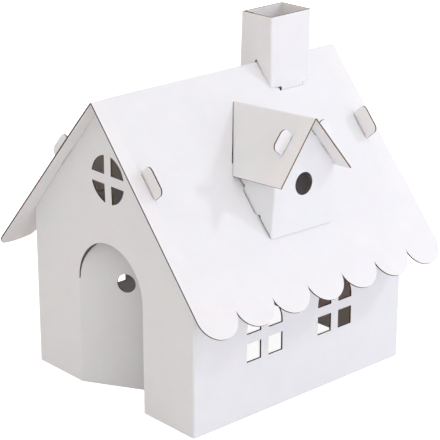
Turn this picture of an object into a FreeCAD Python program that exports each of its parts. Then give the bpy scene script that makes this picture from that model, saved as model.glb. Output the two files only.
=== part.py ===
import FreeCAD, Part
import math
import os

# A model house, cut, folded and slotted together from white corrugated card.
#
# It is made of five pieces of card: the walls, the roof, the chimney, the dormer's walls and the
# dormer's roof. Each is one sheet with creases, so each is one solid. Tabs on one piece go through
# slots in the next, and nothing moves.
#
# Frame: the origin is on the ground under the middle of the house, +Z is up, the door is in the wall
# that faces -Y, and +X is to the right of someone who stands before that door. Millimetres and degrees.

# ---- card -------------------------------------------------------------------------------------------
BOARD = 1.5                 # thickness of the card
CREASE_INSIDE = 0.3         # inside radius of a crease
SLOT_GAP = 0.2              # room on each side of a tab in its slot
TONGUE_SLOT_GAP = 1.8       # room outside a tongue, whose slot is cut wide
SEAT_GAP = 0.1              # room between a cut edge and the face that it stands on

# ---- walls ------------------------------------------------------------------------------------------
HOUSE_WIDTH = 220.0         # along X, outside
HOUSE_LENGTH = 256.0        # along Y, outside
WALL_HEIGHT = 151.6         # side walls, at their outer face
WALL_LAP = 22.0             # glued flap inside the corner where the wall sheet closes

FRONT_CENTRE_X = -1.0       # centre line of the door and the round window
DOOR_WIDTH = 89.0
DOOR_SPRING = 103.0         # height at which the door's arch begins
DOOR_ANGLE = 30.0           # how far the door's leaf is pushed inwards
DOOR_KERF = 0.8             # what the cut takes off the leaf's free edges
DOOR_PORTHOLE = 17.5        # diameter of the round hole in the leaf

ROUND_WINDOW = 44.6         # diameter
ROUND_WINDOW_HEIGHT = 207.0
ROUND_WINDOW_BAR = 9.0

WINDOW_WIDTH = 43.0
WINDOW_SILL = 52.8
WINDOW_SPRING = 82.0        # height at which a side window's arch begins
WINDOW_CROSSBAR = 74.9      # height of the middle of its crossbar
WINDOW_BAR = 9.0
WINDOW_SPACING = 87.2       # between the two windows of a side wall
WINDOWS_CENTRE_Y = -1.2

# ---- tabs along the gables ---------------------------------------------------------------------------
TAB_PLACE = 86.0            # from the ridge down the slope to the middle of the tab
FRONT_LEFT_TAB_PLACE = 87.2
TAB_NECK = 22.4
TAB_HEAD = 27.5
TAB_CORNER = 5.5
TAB_SLOT_SLACK = 0.7        # how much wider their slots are, at their -Y side
FRONT_LEFT_TAB_HEIGHT = 17.5    # above the roof, which each tab pulls down by its own amount
FRONT_RIGHT_TAB_HEIGHT = 13.5
BACK_TAB_HEIGHT = 16.8

# ---- roof -------------------------------------------------------------------------------------------
ROOF_PITCH = 49.3
ROOF_SLOPE = 230.5          # from the ridge to the tips of the scallops
ROOF_OVERHANG = 17.3        # past each gable, at the ridge
EAVE_FLARE = 1.5            # how much more it stands out at the eaves
SCALLOPS = 7
SCALLOP_ANGLE = 174.6       # how much of a circle each scallop's arc is

# ---- chimney ----------------------------------------------------------------------------------------
CHIMNEY_WIDTH = 38.6        # along X, outside
CHIMNEY_LENGTH = 50.2       # along Y, outside
CHIMNEY_CENTRE_Y = 71.4
CHIMNEY_TOP = 325.5
CHIMNEY_LAP = 12.0
CHIMNEY_TONGUE = 26.3       # along Y
CHIMNEY_TONGUE_DEPTH = 11.0
CHIMNEY_SLOT_SLACK = 1.8    # how much longer its slots are, at their -Y end

# ---- dormer -----------------------------------------------------------------------------------------
DORMER_WIDTH = 73.5         # along Y, outside
DORMER_CENTRE_Y = 1.5
DORMER_FRONT_X = 106.6      # outer face of its front wall
DORMER_HOLE = 20.6
DORMER_HOLE_HEIGHT = 201.4
DORMER_HOLE_OFFSET = 1.6        # the hole sits a little to the +Y side of the middle
DORMER_SIDE_GAP = 1.3           # under the side walls' lower edges, behind the creases
DORMER_TONGUE = 22.4        # along the main roof's slope
DORMER_TONGUE_PLACE = 124.8     # from the main ridge down the slope to its middle
DORMER_TONGUE_DEPTH = 8.0

DORMER_PITCH = 51.2
DORMER_RIDGE_HEIGHT = 264.6     # at the front end of the dormer's ridge
DORMER_RIDGE_TILT = 3.4         # the ridge rises to the front
DORMER_SLOPE = 68.6
DORMER_OVERHANG = 14.0          # past its front wall
DORMER_TAB_NECK = 12.0
DORMER_TAB_HEAD = 20.5
DORMER_TAB_CORNER = 5.5
DORMER_LEFT_TAB_PLACE = 30.0    # on the -Y slope, from the dormer's ridge down to its middle
DORMER_LEFT_TAB_HEIGHT = 13.8
DORMER_RIGHT_TAB_PLACE = 31.9
DORMER_RIGHT_TAB_HEIGHT = 15.2

# ---- sizes that follow -------------------------------------------------------------------------------
CREASE_OUTSIDE = CREASE_INSIDE + BOARD
PITCH = math.radians(ROOF_PITCH)
RIDGE_HEIGHT = WALL_HEIGHT + HOUSE_WIDTH / 2 * math.tan(PITCH) + (BOARD + SEAT_GAP) / math.cos(PITCH)
CUT = 2 * RIDGE_HEIGHT      # long enough for a cutting solid to pass right through
APEX_FLAT = 2 * CREASE_OUTSIDE      # flat that clears the inside of a ridge crease


def vec(x, y, z):
    return FreeCAD.Vector(x, y, z)


def rounded_face(corners, radii):
    """Flat face with the given corners, each rounded by its own radius where that isn't 0."""
    count = len(corners)
    starts, middles, ends = [], [], []
    for index in range(count):
        corner = corners[index]
        back = (corners[index - 1] - corner).normalize()
        ahead = (corners[(index + 1) % count] - corner).normalize()
        half_angle = back.getAngle(ahead) / 2
        run = radii[index] / math.tan(half_angle)
        centre_distance = radii[index] / math.sin(half_angle)
        bisector = (back + ahead).normalize()
        starts.append(corner + back * run)
        middles.append(corner + bisector * (centre_distance - radii[index]))
        ends.append(corner + ahead * run)
    edges = []
    for index in range(count):
        if radii[index] > 0:
            edges.append(Part.Arc(starts[index], middles[index], ends[index]).toShape())
        following = starts[(index + 1) % count]
        edges.append(Part.makeLine(ends[index], following))
    return Part.Face(Part.Wire(edges))


def plain_face(corners):
    return Part.Face(Part.makePolygon(corners + [corners[0]]))


def arched_face(place, half_width, bottom, spring):
    """Upright opening with a half-round head. place(u, v) puts its sideways and upward sizes in space."""
    left, right = -half_width, half_width
    sides = Part.makePolygon([place(left, spring), place(left, bottom), place(right, bottom),
                              place(right, spring)])
    head = Part.Arc(place(right, spring), place(0, spring + half_width), place(left, spring)).toShape()
    return Part.Face(Part.Wire(sides.Edges + [head]))


def folded_section(corners):
    """Section of a strip of card with a crease at each inner corner.

    The corners run along the outside of the strip, and the card lies to their left, seen against the
    section's normal, which the turns of the strip fix.
    """
    first = corners[1] - corners[0]
    second = corners[2] - corners[1]
    normal = first.cross(second).normalize()
    inner = []
    for index, corner in enumerate(corners):
        before = (corner - corners[index - 1]).normalize() if index > 0 else None
        after = (corners[index + 1] - corner).normalize() if index + 1 < len(corners) else None
        if before is None:
            inner.append(corner + normal.cross(after) * BOARD)
        elif after is None:
            inner.append(corner + normal.cross(before) * BOARD)
        else:
            side = (normal.cross(before) + normal.cross(after)).normalize()
            half_turn = before.getAngle(after) / 2
            inner.append(corner + side * (BOARD / math.cos(half_turn)))
    creases = len(corners) - 2
    radii = [0] + [CREASE_OUTSIDE] * creases + [0] + [0] + [CREASE_INSIDE] * creases + [0]
    return rounded_face(corners + inner[::-1], radii)


def wrapped_band(corners, lap, height):
    """Upright band of card round four corners, closed by a flap glued inside the first corner."""
    seam, last = corners[0], corners[3]
    inwards = (last - seam).normalize()
    along = (corners[1] - seam).normalize()
    fold = seam + inwards * BOARD
    joint = fold + inwards * (2 * CREASE_OUTSIDE)
    round_band = folded_section(corners + [joint])
    flap = folded_section([joint, fold, fold + along * lap])
    up = vec(0, 0, height)
    return round_band.extrude(up).fuse(flap.extrude(up)).removeSplitter()


# ---- the main roof's slopes ----------------------------------------------------------------------------

def on_slope(side, y, down, above):
    """Point on a slope of the main roof. side is 1 for +X, down runs from the ridge, above from the top."""
    x = side * (down * math.cos(PITCH) + above * math.sin(PITCH))
    z = RIDGE_HEIGHT - down * math.sin(PITCH) + above * math.cos(PITCH)
    return vec(x, y, z)


def slope_normal(side):
    return vec(side * math.sin(PITCH), 0, math.cos(PITCH))


def roof_top_at(x):
    """Height of the main roof's upper face."""
    return RIDGE_HEIGHT - abs(x) * math.tan(PITCH)


def roof_slot(side, y_low, y_high, down_low, down_high):
    """Cutter for a slot that is cut square through a slope of the main roof."""
    corners = [on_slope(side, y_low, down_low, BOARD), on_slope(side, y_high, down_low, BOARD),
               on_slope(side, y_high, down_high, BOARD), on_slope(side, y_low, down_high, BOARD)]
    return plain_face(corners).extrude(slope_normal(side) * (-3 * BOARD))


def locking_tab(place, middle, neck, head, height, root, corner):
    """Outline of a tab with an ear on each side. place(along, above) puts it on the sheet's plane.

    It reaches from root, inside the sheet that carries it, through the slot to its rounded head.
    """
    sides = [(-neck / 2, root), (-neck / 2, SLOT_GAP), (-head / 2, SLOT_GAP), (-head / 2, height),
             (head / 2, height), (head / 2, SLOT_GAP), (neck / 2, SLOT_GAP), (neck / 2, root)]
    ear = (head - neck) / 2
    radii = [0, 0, ear / 3, corner, corner, ear / 3, 0, 0]
    return rounded_face([place(middle + along, above) for along, above in sides], radii)


# ---- walls -------------------------------------------------------------------------------------------

def gable_profile():
    """Solid that holds the walls under the roof, with square shoulders cut on the side walls."""
    half = HOUSE_WIDTH / 2
    apex = WALL_HEIGHT + half * math.tan(PITCH)
    flat_drop = APEX_FLAT / 2 * math.tan(PITCH)
    corners = [vec(-half, -CUT, 0), vec(half, -CUT, 0), vec(half, -CUT, WALL_HEIGHT),
               vec(APEX_FLAT / 2, -CUT, apex - flat_drop), vec(-APEX_FLAT / 2, -CUT, apex - flat_drop),
               vec(-half, -CUT, WALL_HEIGHT)]
    profile = plain_face(corners).extrude(vec(0, 2 * CUT, 0))
    shoulder_length = HOUSE_LENGTH - 2 * BOARD
    for side in (-1, 1):
        low_x = min(side * half, side * (half - 2 * BOARD))
        shoulder = Part.makeBox(2 * BOARD, shoulder_length, CUT,
                                vec(low_x, -shoulder_length / 2, WALL_HEIGHT))
        profile = profile.cut(shoulder)
    return profile


def side_window_panes(y):
    """Cutter for the four panes of the arched windows that face each other at y."""
    def place(u, v):
        return vec(-CUT, y + u, v)

    opening = arched_face(place, WINDOW_WIDTH / 2, WINDOW_SILL, WINDOW_SPRING).extrude(vec(2 * CUT, 0, 0))
    upright = Part.makeBox(2 * CUT, WINDOW_BAR, CUT, vec(-CUT, y - WINDOW_BAR / 2, 0))
    crossbar = Part.makeBox(2 * CUT, WINDOW_WIDTH, WINDOW_BAR,
                            vec(-CUT, y - WINDOW_WIDTH / 2, WINDOW_CROSSBAR - WINDOW_BAR / 2))
    return opening.cut(upright).cut(crossbar)


def round_window_panes():
    """Cutter for the four panes of the round window in the front gable."""
    radius = ROUND_WINDOW / 2
    front = -HOUSE_LENGTH / 2
    centre = vec(FRONT_CENTRE_X, front - BOARD, ROUND_WINDOW_HEIGHT)
    opening = Part.makeCylinder(radius, 3 * BOARD, centre, vec(0, 1, 0))
    half_bar = ROUND_WINDOW_BAR / 2
    upright = Part.makeBox(ROUND_WINDOW_BAR, 3 * BOARD, 2 * radius,
                           centre - vec(half_bar, 0, radius))
    crossbar = Part.makeBox(2 * radius, 3 * BOARD, ROUND_WINDOW_BAR,
                            centre - vec(radius, 0, half_bar))
    return opening.cut(upright).cut(crossbar)


def door_opening():
    def place(u, v):
        return vec(FRONT_CENTRE_X + u, -HOUSE_LENGTH / 2 - BOARD, v)

    return arched_face(place, DOOR_WIDTH / 2, 0, DOOR_SPRING).extrude(vec(0, 3 * BOARD, 0))


def door_leaf():
    """The door's leaf, with the crease on its left that joins it to the gable."""
    angle = math.radians(DOOR_ANGLE)
    hinge = vec(FRONT_CENTRE_X - DOOR_WIDTH / 2, -HOUSE_LENGTH / 2, 0)
    along = vec(math.cos(angle), math.sin(angle), 0)
    outwards = vec(math.sin(angle), -math.cos(angle), 0)
    on_gable = hinge - vec(2 * CREASE_OUTSIDE, 0, 0)
    leaf = folded_section([on_gable, hinge, hinge + along * (DOOR_WIDTH - DOOR_KERF)])
    leaf = leaf.extrude(vec(0, 0, DOOR_SPRING + DOOR_WIDTH / 2))

    def place(u, v):
        return hinge + along * (DOOR_WIDTH / 2 + u) + outwards * BOARD + vec(0, 0, v)

    arch = arched_face(place, DOOR_WIDTH / 2 - DOOR_KERF, 0, DOOR_SPRING).extrude(outwards * (-3 * BOARD))
    crease = Part.makeBox(4 * CREASE_OUTSIDE, 4 * CREASE_OUTSIDE, DOOR_SPRING,
                          on_gable - vec(0, CREASE_OUTSIDE, 0))
    porthole = Part.makeCylinder(DOOR_PORTHOLE / 2, 3 * BOARD, place(0, DOOR_SPRING), outwards * -1)
    return leaf.common(arch.fuse(crease)).cut(porthole)


def gable_tabs():
    """Side, lower face in Y, place and height of each of the four tabs on the gables."""
    front, back = gable_faces()
    return ((-1, front, FRONT_LEFT_TAB_PLACE, FRONT_LEFT_TAB_HEIGHT),
            (1, front, TAB_PLACE, FRONT_RIGHT_TAB_HEIGHT),
            (-1, back, TAB_PLACE, BACK_TAB_HEIGHT), (1, back, TAB_PLACE, BACK_TAB_HEIGHT))


def gable_tab(side, y, middle, height):
    """Tab that stands square on a sloping edge of the gable whose lower face in Y is at y."""
    def place(along, above):
        return on_slope(side, y, along, above)

    outline = locking_tab(place, middle, TAB_NECK, TAB_HEAD, height, -2 * BOARD - SEAT_GAP, TAB_CORNER)
    return outline.extrude(vec(0, BOARD, 0))


def gable_faces():
    """The lower face in Y of the front gable and of the back gable."""
    return (-HOUSE_LENGTH / 2, HOUSE_LENGTH / 2 - BOARD)


def house_walls():
    half_x, half_y = HOUSE_WIDTH / 2, HOUSE_LENGTH / 2
    corners = [vec(-half_x, half_y, 0), vec(-half_x, -half_y, 0), vec(half_x, -half_y, 0),
               vec(half_x, half_y, 0)]
    walls = wrapped_band(corners, WALL_LAP, RIDGE_HEIGHT).common(gable_profile())
    for step in (-0.5, 0.5):
        walls = walls.cut(side_window_panes(WINDOWS_CENTRE_Y + step * WINDOW_SPACING))
    walls = walls.cut(round_window_panes()).cut(door_opening()).fuse(door_leaf())
    for side, y, middle, height in gable_tabs():
        walls = walls.fuse(gable_tab(side, y, middle, height))
    return walls.removeSplitter()


# ---- roof --------------------------------------------------------------------------------------------

def ridge_crease(place, pitch, length):
    """The creased strip along a ridge, and how far down each slope it reaches.

    place(across, up) puts its section in space, and length is a vector along the ridge.
    """
    reach = 2 * CREASE_OUTSIDE
    corners = [place(reach * math.cos(pitch), -reach * math.sin(pitch)), place(0, 0),
               place(-reach * math.cos(pitch), -reach * math.sin(pitch))]
    return folded_section(corners).extrude(length), reach


def scalloped_slope(side, start):
    """One slope of the main roof, from start below the ridge to its scalloped eave."""
    ridge_half = HOUSE_LENGTH / 2 + ROOF_OVERHANG
    eave_half = ridge_half + EAVE_FLARE
    pitch_y = 2 * eave_half / SCALLOPS
    cusp_line = ROOF_SLOPE - pitch_y / 2 * math.tan(math.radians(SCALLOP_ANGLE) / 4)
    top = Part.makePolygon([on_slope(side, -eave_half, cusp_line, 0), on_slope(side, -ridge_half, start, 0),
                            on_slope(side, ridge_half, start, 0), on_slope(side, eave_half, cusp_line, 0)])
    edges = list(top.Edges)
    for index in range(SCALLOPS):
        low = eave_half - (index + 1) * pitch_y
        middle = low + pitch_y / 2
        high = low + pitch_y
        edges.append(Part.Arc(on_slope(side, high, cusp_line, 0), on_slope(side, middle, ROOF_SLOPE, 0),
                              on_slope(side, low, cusp_line, 0)).toShape())
    return Part.Face(Part.Wire(edges)).extrude(slope_normal(side) * -BOARD)


def gable_slots():
    """Cutters for the slots that take the gables' tabs."""
    half = TAB_NECK / 2 + SLOT_GAP
    return [roof_slot(side, y - SLOT_GAP - TAB_SLOT_SLACK, y + BOARD + SLOT_GAP, middle - half, middle + half)
            for side, y, middle, height in gable_tabs()]


def chimney_slots():
    """Cutters for the slots that take the chimney's upright tongues."""
    outer = CHIMNEY_WIDTH / 2
    inner = outer - BOARD
    down_low = (inner - SLOT_GAP) / math.cos(PITCH)
    down_high = (outer + TONGUE_SLOT_GAP) / math.cos(PITCH)
    half = CHIMNEY_TONGUE / 2 + SLOT_GAP
    y_low = CHIMNEY_CENTRE_Y - half - CHIMNEY_SLOT_SLACK
    return [roof_slot(side, y_low, CHIMNEY_CENTRE_Y + half, down_low, down_high) for side in (-1, 1)]


def dormer_side_faces():
    """The lower face in Y of each of the dormer's two side walls."""
    return (DORMER_CENTRE_Y - DORMER_WIDTH / 2, DORMER_CENTRE_Y + DORMER_WIDTH / 2 - BOARD)


def dormer_slots():
    """Cutters for the slots in the main roof that take the tongues of the dormer's side walls."""
    half = DORMER_TONGUE / 2 + SLOT_GAP
    low_face, high_face = dormer_side_faces()
    ranges = ((low_face - TONGUE_SLOT_GAP, low_face + BOARD + SLOT_GAP),
              (high_face - SLOT_GAP, high_face + BOARD + TONGUE_SLOT_GAP))
    return [roof_slot(1, y_low, y_high, DORMER_TONGUE_PLACE - half, DORMER_TONGUE_PLACE + half)
            for y_low, y_high in ranges]


def roof():
    ridge_half = HOUSE_LENGTH / 2 + ROOF_OVERHANG

    def place(across, up):
        return vec(across, -ridge_half, RIDGE_HEIGHT + up)

    sheet, start = ridge_crease(place, PITCH, vec(0, 2 * ridge_half, 0))
    for side in (-1, 1):
        sheet = sheet.fuse(scalloped_slope(side, start))
    sheet = sheet.removeSplitter()
    for slot in gable_slots() + chimney_slots() + dormer_slots():
        sheet = sheet.cut(slot)
    return sheet


# ---- chimney -----------------------------------------------------------------------------------------

def roof_body(gap):
    """Everything lower than gap above the main roof's upper face."""
    rise = gap / math.cos(PITCH)
    corners = [vec(-CUT, -CUT, roof_top_at(CUT) + rise), vec(CUT, -CUT, roof_top_at(CUT) + rise),
               vec(0, -CUT, RIDGE_HEIGHT + rise)]
    return plain_face(corners).extrude(vec(0, 2 * CUT, 0))


def chimney():
    half_x, half_y = CHIMNEY_WIDTH / 2, CHIMNEY_LENGTH / 2
    base = roof_top_at(half_x) - CHIMNEY_TONGUE_DEPTH
    corners = [vec(-half_x, CHIMNEY_CENTRE_Y - half_y, base), vec(half_x, CHIMNEY_CENTRE_Y - half_y, base),
               vec(half_x, CHIMNEY_CENTRE_Y + half_y, base), vec(-half_x, CHIMNEY_CENTRE_Y + half_y, base)]
    tube = wrapped_band(corners, CHIMNEY_LAP, CHIMNEY_TOP - base)
    shaft = tube.cut(roof_body(SEAT_GAP))
    tongues = Part.makeBox(2 * CUT, CHIMNEY_TONGUE, CUT,
                           vec(-CUT, CHIMNEY_CENTRE_Y - CHIMNEY_TONGUE / 2, base))
    between = Part.makeBox(CHIMNEY_WIDTH - 2 * BOARD, CHIMNEY_TONGUE, CUT,
                           vec(BOARD - half_x, CHIMNEY_CENTRE_Y - CHIMNEY_TONGUE / 2, base))
    return shaft.fuse(tube.common(tongues).cut(between)).removeSplitter()


# ---- dormer ------------------------------------------------------------------------------------------

def dormer_axes(side):
    """Front end of the dormer's ridge, with unit vectors back along it, down a slope and out of it.

    side is -1 for the slope on the -Y side.
    """
    tilt = math.radians(DORMER_RIDGE_TILT)
    pitch = math.radians(DORMER_PITCH)
    front = vec(DORMER_FRONT_X + DORMER_OVERHANG, DORMER_CENTRE_Y, DORMER_RIDGE_HEIGHT)
    back = vec(-math.cos(tilt), 0, -math.sin(tilt))
    up = vec(-math.sin(tilt), 0, math.cos(tilt))
    across = vec(0, side, 0)
    down = across * math.cos(pitch) - up * math.sin(pitch)
    outwards = across * math.sin(pitch) + up * math.cos(pitch)
    return front, back, down, outwards


def dormer_reach(side, distance):
    """How far back a slope of the dormer's roof runs, at a distance down it, before it meets the roof."""
    front, back, down, outwards = dormer_axes(side)
    normal = slope_normal(1)
    underside = front + down * distance - outwards * BOARD
    roof_level = normal.dot(vec(0, 0, RIDGE_HEIGHT)) + SEAT_GAP
    return (roof_level - normal.dot(underside)) / normal.dot(back)


def dormer_underside_at(x, y):
    """Height just below the dormer's roof, at a place on the plan."""
    side = -1 if y < DORMER_CENTRE_Y else 1
    front, back, down, outwards = dormer_axes(side)
    start = front - outwards * (BOARD + SEAT_GAP)
    return start.z - ((x - start.x) * outwards.x + (y - start.y) * outwards.y) / outwards.z


def dormer_slope(side, start):
    """One slope of the dormer's roof, whose back edge lies along the main roof."""
    front, back, down, outwards = dormer_axes(side)
    lengths = [(start, 0), (DORMER_SLOPE, 0), (DORMER_SLOPE, dormer_reach(side, DORMER_SLOPE)),
               (start, dormer_reach(side, start))]
    corners = [front + down * distance + back * run for distance, run in lengths]
    return plain_face(corners).extrude(outwards * -BOARD)


def dormer_tab_sizes(side):
    """Place and height of the front wall's tab on one side."""
    if side < 0:
        return DORMER_LEFT_TAB_PLACE, DORMER_LEFT_TAB_HEIGHT
    return DORMER_RIGHT_TAB_PLACE, DORMER_RIGHT_TAB_HEIGHT


def dormer_tab_place(side):
    """Function that puts a tab's sizes along and above a slope on the outer face of the front wall."""
    front, back, down, outwards = dormer_axes(side)
    pitch = math.radians(DORMER_PITCH)
    drop = DORMER_OVERHANG * math.tan(math.radians(DORMER_RIDGE_TILT))
    ridge = vec(DORMER_FRONT_X, DORMER_CENTRE_Y, front.z - drop)
    slope = vec(0, side * math.cos(pitch), -math.sin(pitch))
    square = vec(0, side * math.sin(pitch), math.cos(pitch))

    def place(along, above):
        return ridge + slope * along + square * above

    return place


def dormer_roof_slot(side):
    """Cutter for the slot that takes a tab of the dormer's front wall."""
    place = dormer_tab_place(side)
    middle, height = dormer_tab_sizes(side)
    half = DORMER_TAB_NECK / 2 + SLOT_GAP
    near, far = middle - half, middle + half
    corners = [place(near, -3 * BOARD), place(far, -3 * BOARD), place(far, 3 * BOARD),
               place(near, 3 * BOARD)]
    cutter = plain_face(corners).extrude(vec(-BOARD - 2 * SLOT_GAP, 0, 0))
    return cutter.translated(vec(SLOT_GAP, 0, 0))


def dormer_roof():
    front, back, down, outwards = dormer_axes(1)
    pitch = math.radians(DORMER_PITCH)
    up = outwards * math.cos(pitch) - down * math.sin(pitch)

    def place(across, rise):
        return front + vec(0, across, 0) + up * rise

    longest = front.x / -back.x
    strip, start = ridge_crease(place, pitch, back * longest)
    sheet = strip.cut(roof_body(SEAT_GAP))
    for side in (-1, 1):
        sheet = sheet.fuse(dormer_slope(side, start))
    sheet = sheet.removeSplitter()
    for side in (-1, 1):
        sheet = sheet.cut(dormer_roof_slot(side))
    return sheet


def dormer_tab(side):
    """Tab of the dormer's front wall that goes through a slope of its roof."""
    middle, height = dormer_tab_sizes(side)
    outline = locking_tab(dormer_tab_place(side), middle, DORMER_TAB_NECK, DORMER_TAB_HEAD, height,
                          -3 * BOARD, DORMER_TAB_CORNER)
    return outline.extrude(vec(-BOARD, 0, 0))


def dormer_profiles():
    """The side view and the front view of the dormer's walls, each as a solid that runs right through."""
    low_y = DORMER_CENTRE_Y - DORMER_WIDTH / 2
    high_y = DORMER_CENTRE_Y + DORMER_WIDTH / 2
    seat = SEAT_GAP / math.cos(PITCH)
    rise = DORMER_SIDE_GAP / math.cos(PITCH)
    crease_x = DORMER_FRONT_X - CREASE_OUTSIDE
    tilt = math.tan(math.radians(DORMER_RIDGE_TILT))
    front_top = dormer_underside_at(DORMER_FRONT_X, low_y)
    # the back point is where the side wall's top edge runs into the main roof
    steepness = math.tan(PITCH) + tilt
    back_x = DORMER_FRONT_X - (front_top - roof_top_at(DORMER_FRONT_X) - rise) / steepness
    side_corners = [vec(crease_x, -CUT, roof_top_at(crease_x) + rise),
                    vec(crease_x, -CUT, roof_top_at(crease_x) + seat),
                    vec(DORMER_FRONT_X, -CUT, roof_top_at(DORMER_FRONT_X) + seat),
                    vec(DORMER_FRONT_X, -CUT, RIDGE_HEIGHT),
                    vec(DORMER_FRONT_X - BOARD, -CUT, RIDGE_HEIGHT),
                    vec(DORMER_FRONT_X - BOARD, -CUT, front_top - BOARD * tilt),
                    vec(back_x, -CUT, roof_top_at(back_x) + rise)]
    side_view = plain_face(side_corners).extrude(vec(0, 2 * CUT, 0))
    # the front wall is lowest on its inner face, because the ridge rises to the front
    wall_x = DORMER_FRONT_X - BOARD
    flat = APEX_FLAT / 2
    front_corners = [vec(0, low_y, 0), vec(0, high_y, 0), vec(0, high_y, dormer_underside_at(wall_x, high_y)),
                     vec(0, DORMER_CENTRE_Y + flat, dormer_underside_at(wall_x, DORMER_CENTRE_Y + flat)),
                     vec(0, DORMER_CENTRE_Y - flat, dormer_underside_at(wall_x, DORMER_CENTRE_Y - flat)),
                     vec(0, low_y, dormer_underside_at(wall_x, low_y))]
    front_view = plain_face(front_corners).extrude(vec(CUT, 0, 0))
    return side_view, front_view


def dormer_tongue(y):
    """Tongue of a side wall whose lower face in Y is at y. It goes square through the main roof."""
    half = DORMER_TONGUE / 2
    top = 3 * BOARD
    bottom = -BOARD - DORMER_TONGUE_DEPTH
    corners = [on_slope(1, y, DORMER_TONGUE_PLACE + step, above)
               for step, above in ((-half, top), (half, top), (half, bottom), (-half, bottom))]
    outline = rounded_face(corners, [0, 0, TAB_CORNER, TAB_CORNER])
    return outline.extrude(vec(0, BOARD, 0))


def dormer_walls():
    low_y = DORMER_CENTRE_Y - DORMER_WIDTH / 2
    high_y = DORMER_CENTRE_Y + DORMER_WIDTH / 2
    corners = [vec(0, low_y, 0), vec(DORMER_FRONT_X, low_y, 0), vec(DORMER_FRONT_X, high_y, 0),
               vec(0, high_y, 0)]
    side_view, front_view = dormer_profiles()
    walls = folded_section(corners).extrude(vec(0, 0, RIDGE_HEIGHT)).common(side_view).common(front_view)
    hole = Part.makeCylinder(DORMER_HOLE / 2, 3 * BOARD,
                             vec(DORMER_FRONT_X + BOARD, DORMER_CENTRE_Y + DORMER_HOLE_OFFSET,
                                 DORMER_HOLE_HEIGHT),
                             vec(-1, 0, 0))
    walls = walls.cut(hole)
    for y in dormer_side_faces():
        walls = walls.fuse(dormer_tongue(y))
    for side in (-1, 1):
        walls = walls.fuse(dormer_tab(side))
    return walls.removeSplitter()


PIECES = {
    "house_walls": house_walls,
    "roof": roof,
    "chimney": chimney,
    "dormer_walls": dormer_walls,
    "dormer_roof": dormer_roof,
}


def main():
    os.makedirs("parts", exist_ok=True)
    for name, build in PIECES.items():
        solid = build()
        if solid.ShapeType == "Compound" and len(solid.Solids) == 1:
            solid = solid.Solids[0]
        solid.exportStep(os.path.join("parts", name + ".step"))
        print(name, "solids", len(solid.Solids), "valid", solid.isValid(), "cm3", round(solid.Volume / 1000, 2))


main()
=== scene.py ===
"""A white card model house: a Blender add-on that folds it from flat, die-cut and creased sheets."""
import math

import bmesh
import bpy
from mathutils import Matrix, Vector


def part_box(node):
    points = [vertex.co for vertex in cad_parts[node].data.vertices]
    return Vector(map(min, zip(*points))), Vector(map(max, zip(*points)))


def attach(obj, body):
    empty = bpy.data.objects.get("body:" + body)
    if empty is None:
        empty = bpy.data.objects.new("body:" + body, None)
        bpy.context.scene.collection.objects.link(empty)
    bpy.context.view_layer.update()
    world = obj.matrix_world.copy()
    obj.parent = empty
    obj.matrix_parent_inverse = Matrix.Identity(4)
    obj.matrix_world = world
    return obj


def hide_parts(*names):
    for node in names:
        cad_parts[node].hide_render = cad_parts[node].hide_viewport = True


bl_info = {
    "name": "Card Model House",
    "version": (1, 0, 0),
    "blender": (4, 5, 0),
    "location": "View3D > Sidebar > Card House",
    "description": "Builds a model house from five folded sheets of white corrugated card",
    "category": "Add Mesh",
}

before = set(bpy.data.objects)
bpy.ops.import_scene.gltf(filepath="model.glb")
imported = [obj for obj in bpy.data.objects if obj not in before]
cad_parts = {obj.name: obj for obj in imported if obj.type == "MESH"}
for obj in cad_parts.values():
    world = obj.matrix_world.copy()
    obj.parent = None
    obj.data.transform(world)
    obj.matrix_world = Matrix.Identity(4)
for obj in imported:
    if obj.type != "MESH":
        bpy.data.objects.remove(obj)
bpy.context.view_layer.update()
WALLS_LOW, WALLS_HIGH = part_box("house_walls")
ROOF_LOW, ROOF_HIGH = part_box("roof")
CHIMNEY_LOW, CHIMNEY_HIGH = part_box("chimney")
DORMER_LOW, DORMER_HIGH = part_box("dormer_walls")
HALF_WIDTH = (WALLS_HIGH.x - WALLS_LOW.x) / 2
HALF_LENGTH = (WALLS_HIGH.y - WALLS_LOW.y) / 2
CHIMNEY_MIDDLE = (CHIMNEY_LOW.y + CHIMNEY_HIGH.y) / 2

MM = 0.001
RIGHT_ANGLE = math.pi / 2
FINEST_CREASE = 0.06 * MM       # narrowest strip that a crease is bent in
CREASE_GUARD = 0.5 * MM         # from a crease to the cuts that keep its bend off the panels
CLOSING_ROOM = 0.05 * MM        # where a sheet closes on itself
NEAR_CREASE = 0.2 * MM          # from a corner's crease to the level edge that ends beside it
PAST_CREASE = 0.3 * MM          # and to the sloping edge on its other side
WELD = 0.01 * MM                # points nearer than this are one
ON_CUT = 0.005 * MM             # and nearer to a cut than this they are on it
SHARP = math.radians(32)        # edges that turn more than this are shaded as sharp


# ---- settings ----------------------------------------------------------------------------------

def length(name, description, default):
    """Size in millimetres, kept in metres."""
    return bpy.props.FloatProperty(name=name, description=description, default=default * MM,
                                   precision=5, unit="LENGTH")


def angle(name, description, default):
    """Angle in degrees, kept in radians."""
    return bpy.props.FloatProperty(name=name, description=description, default=math.radians(default),
                                   subtype="ANGLE")


def number(name, description, default, **kind):
    return bpy.props.FloatProperty(name=name, description=description, default=default, **kind)


def colour(name, description, default):
    return bpy.props.FloatVectorProperty(name=name, description=description, default=default, size=3,
                                         min=0.0, max=1.0, subtype="COLOR")


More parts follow.
